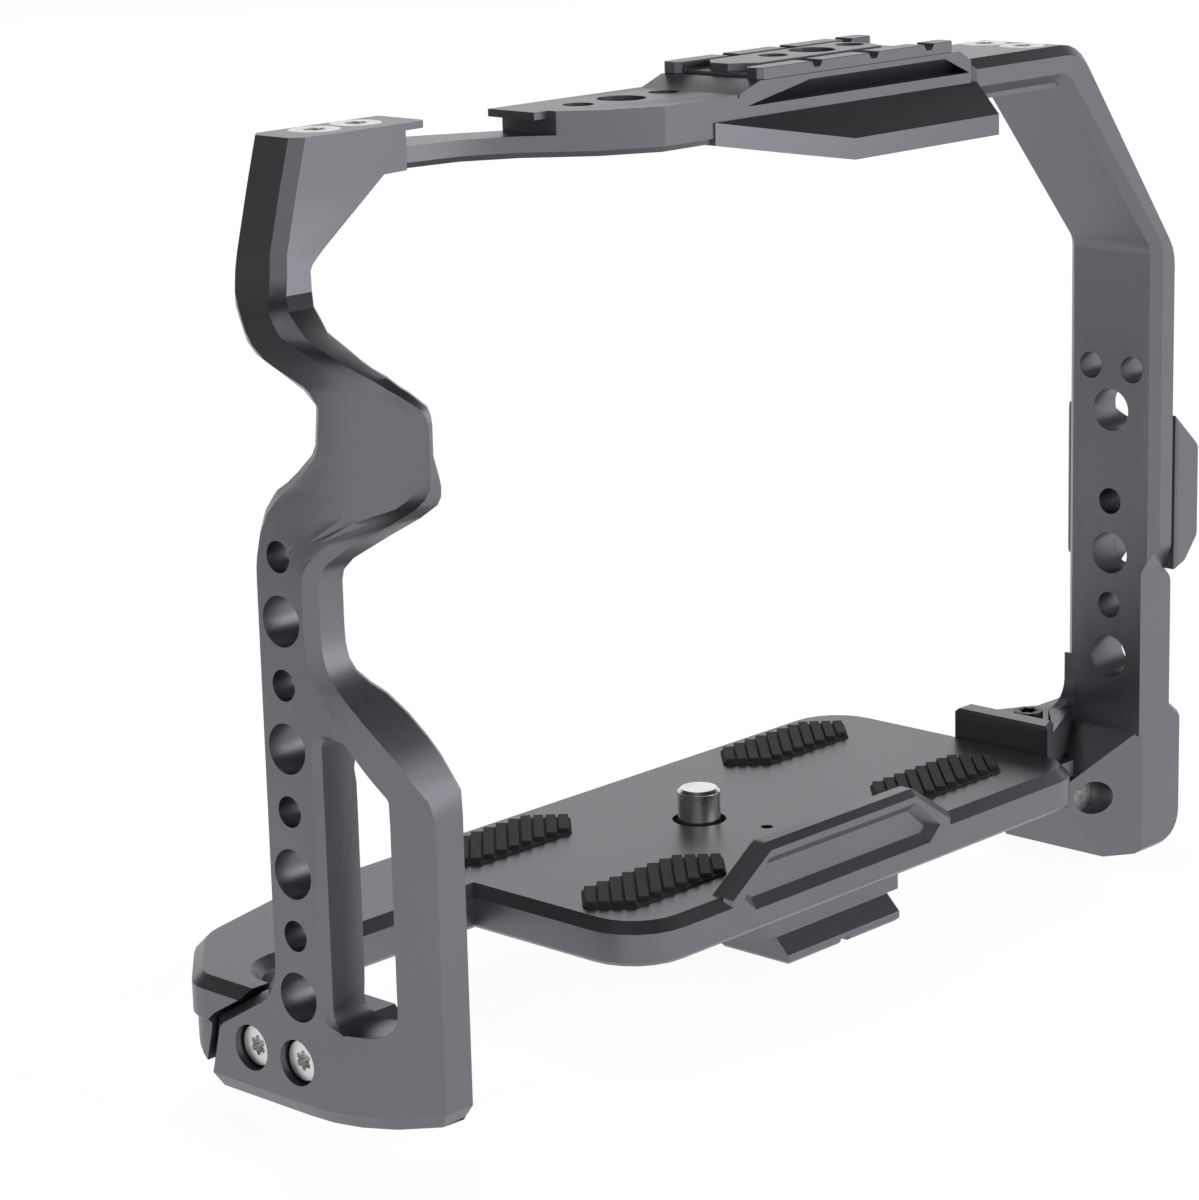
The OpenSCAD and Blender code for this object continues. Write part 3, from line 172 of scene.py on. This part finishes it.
pad_half, pad_wide, pad_tip, rim = 14.2 * mm, 5.3 * mm, 0.42 * mm, 0.3 * mm
pad_flat = pad_half - pad_wide + pad_tip
rib_n, rib_top, rib_low = 11, 0.9 * mm, 0.06 * mm
slant = cos(radians(45))
reach = (pad_half - rim + pad_tip) * slant
pitch = 2 * reach / rib_n
rib_wide = pitch - 0.35 * mm
skirt, sole_low, sole_t = 0.1 * mm, 0.85 * mm, 1.15 * mm
for pad_name, pad_x, pad_y in (("front_left", -26.4, -15), ("front_right", 37.2, -15),
                               ("back_left", -26.4, 15), ("back_right", 37.2, 15)):
    bm = bmesh.new()
    for k in range(rib_n):
        across = (k + 0.5) * pitch - reach
        high = min(pad_wide / slant + across - rib_wide / 2, reach) - rim
        low = rim - min(pad_wide / slant - across - rib_wide / 2, reach)
        block = bmesh.ops.create_cube(bm, size=1)["verts"]
        bmesh.ops.scale(bm, vec=(rib_wide, high - low, rib_top - rib_low), verts=block)
        bmesh.ops.translate(bm, vec=(across, (high + low) / 2, (rib_top + rib_low) / 2),
                            verts=block)
        bmesh.ops.rotate(bm, verts=block, matrix=Matrix.Rotation(radians(-45), 3, "Z"))
    rims = [line for line in bm.edges if line.calc_face_angle() > 1 and
            max(v.co.z for v in line.verts) > rib_low]
    bmesh.ops.bevel(bm, geom=rims, offset=0.12 * mm, segments=2, affect="EDGES", profile=0.5,
                    material=-1)
    sole = [bm.verts.new((x, y, -sole_low)) for x, y in (
        (-pad_half + skirt, -pad_tip), (-pad_flat, skirt - pad_wide),
        (pad_flat, skirt - pad_wide), (pad_half - skirt, -pad_tip),
        (pad_half - skirt, pad_tip), (pad_flat, pad_wide - skirt),
        (-pad_flat, pad_wide - skirt), (-pad_half + skirt, pad_tip))]
    base = bm.faces.new(sole)
    raised = bmesh.ops.extrude_face_region(bm, geom=[base])["geom"]
    bmesh.ops.translate(bm, vec=(0, 0, sole_t),
                        verts=[g for g in raised if isinstance(g, bmesh.types.BMVert)])
    bmesh.ops.recalc_face_normals(bm, faces=bm.faces)
    bmesh.ops.translate(bm, vec=(pad_x * mm, pad_y * mm, 0), verts=bm.verts)
    mesh = bpy.data.meshes.new("ribbed_pad_" + pad_name)
    bm.to_mesh(mesh)
    bm.free()
    pad = bpy.data.objects.new("ribbed_pad_" + pad_name, mesh)
    bpy.context.collection.objects.link(pad)
    pad.data.materials.append(rubber)
    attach(pad, "frame")
    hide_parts("pad_" + pad_name)

# ---- Captive camera screw ----
# Turned from stainless steel: a quarter-inch post above the plate, a plain shank in it and a
# slotted head under it. It can turn and drop, but the spring ring keeps it in the plate.
turned, tree = finish_named("turned_stainless_steel")
place = add(tree, "ShaderNodeTexCoord")
stretch = add(tree, "ShaderNodeMapping", None, {"Vector": place.outputs["Object"]})
stretch.inputs["Scale"].default_value = (300, 300, 14000)
lathe = add(tree, "ShaderNodeTexNoise", {"noise_dimensions": "3D"},
            {"Vector": stretch.outputs["Vector"]}, Scale=1, Detail=3, Roughness=0.5)
shine = add(tree, "ShaderNodeMapRange", None, {"Value": lathe.outputs["Fac"]},
            From_Min=0.3, From_Max=0.7, To_Min=0.16, To_Max=0.30)
tint = add(tree, "ShaderNodeMix", {"data_type": "RGBA"}, {"Factor": lathe.outputs["Fac"]})
tint.inputs[6].default_value = linear("#c9c9c8")
tint.inputs[7].default_value = linear("#dcdcda")
rings = add(tree, "ShaderNodeBump", None, {"Height": lathe.outputs["Fac"]},
            Strength=0.08, Distance=0.00003)
body = add(tree, "ShaderNodeBsdfPrincipled", None,
           {"Base Color": tint.outputs[2], "Roughness": shine.outputs["Result"],
            "Normal": rings.outputs["Normal"]}, Metallic=1)
add(tree, "ShaderNodeOutputMaterial", None, {"Surface": body.outputs["BSDF"]})

post = machined("camera_screw", "turned_camera_screw", 0.15 * mm)
post.data.materials.append(turned)
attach(post, "captive_screw")
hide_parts("camera_screw")

ring = machined("screw_retaining_ring", "spring_ring", 0.08 * mm)
ring.data.materials.append(turned)
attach(ring, "frame")
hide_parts("screw_retaining_ring")

# Black acetal washer under the screw's head: smooth, faintly glossy.
acetal, tree = finish_named("black_acetal")
place = add(tree, "ShaderNodeTexCoord")
speck = add(tree, "ShaderNodeTexNoise", {"noise_dimensions": "3D"},
            {"Vector": place.outputs["Object"]}, Scale=900, Detail=2, Roughness=0.5)
sheen = add(tree, "ShaderNodeMapRange", None, {"Value": speck.outputs["Fac"]},
            From_Min=0.3, From_Max=0.7, To_Min=0.34, To_Max=0.44)
body = add(tree, "ShaderNodeBsdfPrincipled", None, {"Roughness": sheen.outputs["Result"]}, IOR=1.48)
body.inputs["Base Color"].default_value = linear("#151516")
add(tree, "ShaderNodeOutputMaterial", None, {"Surface": body.outputs["BSDF"]})

washer = machined("camera_screw_washer", "acetal_washer", 0.06 * mm)
washer.data.materials.append(acetal)
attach(washer, "screw_carrier")
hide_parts("camera_screw_washer")

# ---- Grip-side arm ----
# Milled from one block of the same aluminium. It bends forward round the camera's grip, with
# a row of mounting holes, a window for fingers, and a foot held by two six-lobe screws.
grip_arm = machined("grip_side_arm", "milled_grip_arm", 0.25 * mm, sharp=25, flat_turn=0.4)
grip_arm.data.materials.append(anodised)
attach(grip_arm, "frame")
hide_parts("grip_side_arm")

# Bright zinc-nickel screws: a smooth light metal, darker in the six-lobe recess.
plated, tree = finish_named("plated_screw_steel")
place = add(tree, "ShaderNodeTexCoord")
mottle = add(tree, "ShaderNodeTexNoise", {"noise_dimensions": "3D"},
             {"Vector": place.outputs["Object"]}, Scale=1200, Detail=3, Roughness=0.5)
satin = add(tree, "ShaderNodeMapRange", None, {"Value": mottle.outputs["Fac"]},
            From_Min=0.3, From_Max=0.7, To_Min=0.28, To_Max=0.40)
pale = add(tree, "ShaderNodeMix", {"data_type": "RGBA"}, {"Factor": mottle.outputs["Fac"]})
pale.inputs[6].default_value = linear("#d8d8d6")
pale.inputs[7].default_value = linear("#e8e8e6")
body = add(tree, "ShaderNodeBsdfPrincipled", None,
           {"Base Color": pale.outputs[2], "Roughness": satin.outputs["Result"]}, Metallic=0.9)
add(tree, "ShaderNodeOutputMaterial", None, {"Surface": body.outputs["BSDF"]})

for screw_node, screw_name in (("grip_arm_foot_screws", "foot_screws_of_grip_arm"),
                               ("grip_arm_top_screws", "top_screws_of_grip_arm")):
    screws = machined(screw_node, screw_name, 0.12 * mm)
    screws.data.materials.append(plated)
    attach(screws, "frame")
    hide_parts(screw_node)

# ---- Top bar ----
# Milled bar between the arms. Its thin left part is the accessory shoe's floor, the raised
# deck carries the quick-release rail, and a wedge-shaped hood hangs from its front edge.
bar = machined("top_bar", "milled_top_bar", 0.25 * mm)
bar.data.materials.append(anodised)
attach(bar, "frame")
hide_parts("top_bar")

rail = machined("quick_release_rail", "milled_rail", 0.15 * mm)
rail.data.materials.append(anodised)
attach(rail, "frame")
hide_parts("quick_release_rail")

rail_screws = machined("rail_screws", "screws_under_rail", 0.1 * mm)
rail_screws.data.materials.append(plated)
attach(rail_screws, "frame")
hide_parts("rail_screws")

# ---- Screen-side arm ----
# Milled arm whose top leans inwards to clear the camera's shoulder. Its foot bolts to the
# plate's tongue, and the block on its outer face takes a side handle.
side_arm = machined("screen_side_arm", "milled_screen_arm", 0.25 * mm)
side_arm.data.materials.append(anodised)
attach(side_arm, "frame")
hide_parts("screen_side_arm")

receiver = machined("side_receiver", "milled_side_receiver", 0.25 * mm)
receiver.data.materials.append(anodised)
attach(receiver, "frame")
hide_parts("side_receiver")

for screw_node, screw_name in (("side_receiver_screws", "screws_of_side_receiver"),
                               ("screen_arm_top_screws", "top_screws_of_screen_arm"),
                               ("foot_set_screw", "front_screw_of_foot")):
    screws = machined(screw_node, screw_name, 0.12 * mm)
    screws.data.materials.append(plated)
    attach(screws, "frame")
    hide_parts(screw_node)

# Black-oxide joint screw behind the stop wall: near black with an oily sheen.
oxide, tree = finish_named("black_oxide_steel")
place = add(tree, "ShaderNodeTexCoord")
stain = add(tree, "ShaderNodeTexNoise", {"noise_dimensions": "3D"},
            {"Vector": place.outputs["Object"]}, Scale=1500, Detail=3, Roughness=0.5)
oily = add(tree, "ShaderNodeMapRange", None, {"Value": stain.outputs["Fac"]},
           From_Min=0.3, From_Max=0.7, To_Min=0.30, To_Max=0.42)
body = add(tree, "ShaderNodeBsdfPrincipled", None, {"Roughness": oily.outputs["Result"]}, Metallic=0.8)
body.inputs["Base Color"].default_value = linear("#1e1e20")
add(tree, "ShaderNodeOutputMaterial", None, {"Surface": body.outputs["BSDF"]})

joint_screw = machined("plate_joint_screw", "black_joint_screw", 0.1 * mm)
joint_screw.data.materials.append(oxide)
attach(joint_screw, "frame")
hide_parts("plate_joint_screw")

# ---- Foot plate ----
# Dovetail plate screwed under the base plate, milled from the same aluminium, with the bore
# that the camera screw's head sits in.
foot = machined("dovetail_plate", "milled_dovetail_plate", 0.25 * mm)
foot.data.materials.append(anodised)
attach(foot, "frame")
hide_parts("dovetail_plate")

foot_screws = machined("dovetail_screws", "screws_of_foot_plate", 0.12 * mm)
foot_screws.data.materials.append(plated)
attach(foot_screws, "frame")
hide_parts("dovetail_screws")

# ---- Floor, world and lamps ----
# A pale floor under the cage, a soft studio with a bright horizon and a dim ceiling, three
# soft lamps, and a grey card at the back left that darkens the upper part of the grip-side arm.
bm = bmesh.new()
bmesh.ops.create_grid(bm, x_segments=1, y_segments=1, size=6)
bmesh.ops.translate(bm, vec=(0, 0, cad_box[0][2] - 0.0002), verts=bm.verts)
mesh = bpy.data.meshes.new("floor")
bm.to_mesh(mesh)
bm.free()
floor = bpy.data.objects.new("floor", mesh)
bpy.context.collection.objects.link(floor)
paper, tree = finish_named("white_paper")
ray = add(tree, "ShaderNodeLightPath")
seen = add(tree, "ShaderNodeMath", {"operation": "MAXIMUM"})
tree.links.new(ray.outputs["Is Camera Ray"], seen.inputs[0])
tree.links.new(ray.outputs["Is Glossy Ray"], seen.inputs[1])
matt = add(tree, "ShaderNodeBsdfDiffuse")
matt.inputs["Color"].default_value = (0.22, 0.22, 0.22, 1)
glow = add(tree, "ShaderNodeEmission", None, {"Strength": seen.outputs[0]})
glow.inputs["Color"].default_value = (0.93, 0.93, 0.93, 1)
both = add(tree, "ShaderNodeAddShader")
tree.links.new(matt.outputs[0], both.inputs[0])
tree.links.new(glow.outputs[0], both.inputs[1])
add(tree, "ShaderNodeOutputMaterial", None, {"Surface": both.outputs[0]})
floor.data.materials.append(paper)

bm = bmesh.new()
bmesh.ops.create_grid(bm, x_segments=1, y_segments=1, size=0.5)
bmesh.ops.rotate(bm, verts=bm.verts, matrix=Matrix.Rotation(radians(90), 3, "X"))
bmesh.ops.scale(bm, vec=(0.8, 1, 0.3), verts=bm.verts)
bmesh.ops.rotate(bm, verts=bm.verts, matrix=Matrix.Rotation(radians(44), 3, "Z"))
bmesh.ops.translate(bm, vec=(-0.34, 0.25, 0.145), verts=bm.verts)
mesh = bpy.data.meshes.new("grey_card")
bm.to_mesh(mesh)
bm.free()
card = bpy.data.objects.new("grey_card", mesh)
bpy.context.collection.objects.link(card)
card.visible_camera = False
card.visible_shadow = False
flock, tree = finish_named("grey_card_paint")
dark = add(tree, "ShaderNodeEmission")
dark.inputs["Color"].default_value = (0.2, 0.2, 0.2, 1)
add(tree, "ShaderNodeOutputMaterial", None, {"Surface": dark.outputs[0]})
card.data.materials.append(flock)

world = bpy.data.worlds.new("studio")
bpy.context.scene.world = world
world.use_nodes = True
tree = world.node_tree
tree.nodes.clear()
where = add(tree, "ShaderNodeTexCoord")
split = add(tree, "ShaderNodeSeparateXYZ", None, {"Vector": where.outputs["Generated"]})
band = add(tree, "ShaderNodeValToRGB", None, {"Fac": split.outputs["Z"]})
band.color_ramp.elements[0].position = 0.36
band.color_ramp.elements[0].color = (1, 1, 1, 1)
band.color_ramp.elements[1].position = 0.54
band.color_ramp.elements[1].color = (0.03, 0.03, 0.03, 1)
sky = add(tree, "ShaderNodeBackground", None, {"Color": band.outputs["Color"]}, Strength=0.95)
add(tree, "ShaderNodeOutputWorld", None, {"Surface": sky.outputs["Background"]})

for lamp_name, spot, size, watts in (("key_lamp", (0.5, -1.3, 0.35), 0.9, 6),
                                     ("back_lamp", (1.0, 1.05, 0.5), 1.0, 1.0),
                                     ("top_lamp", (0.1, 0.3, 1.5), 0.8, 3)):
    lamp = bpy.data.objects.new(lamp_name, bpy.data.lights.new(lamp_name, "AREA"))
    lamp.data.shape = "SQUARE"
    lamp.data.size = size
    lamp.data.energy = watts
    lamp.location = spot
    lamp.rotation_euler = (Vector((0, 0, 0.05)) - Vector(spot)).to_track_quat("-Z", "Y").to_euler()
    bpy.context.collection.objects.link(lamp)

bpy.context.scene.view_settings.view_transform = "Standard"
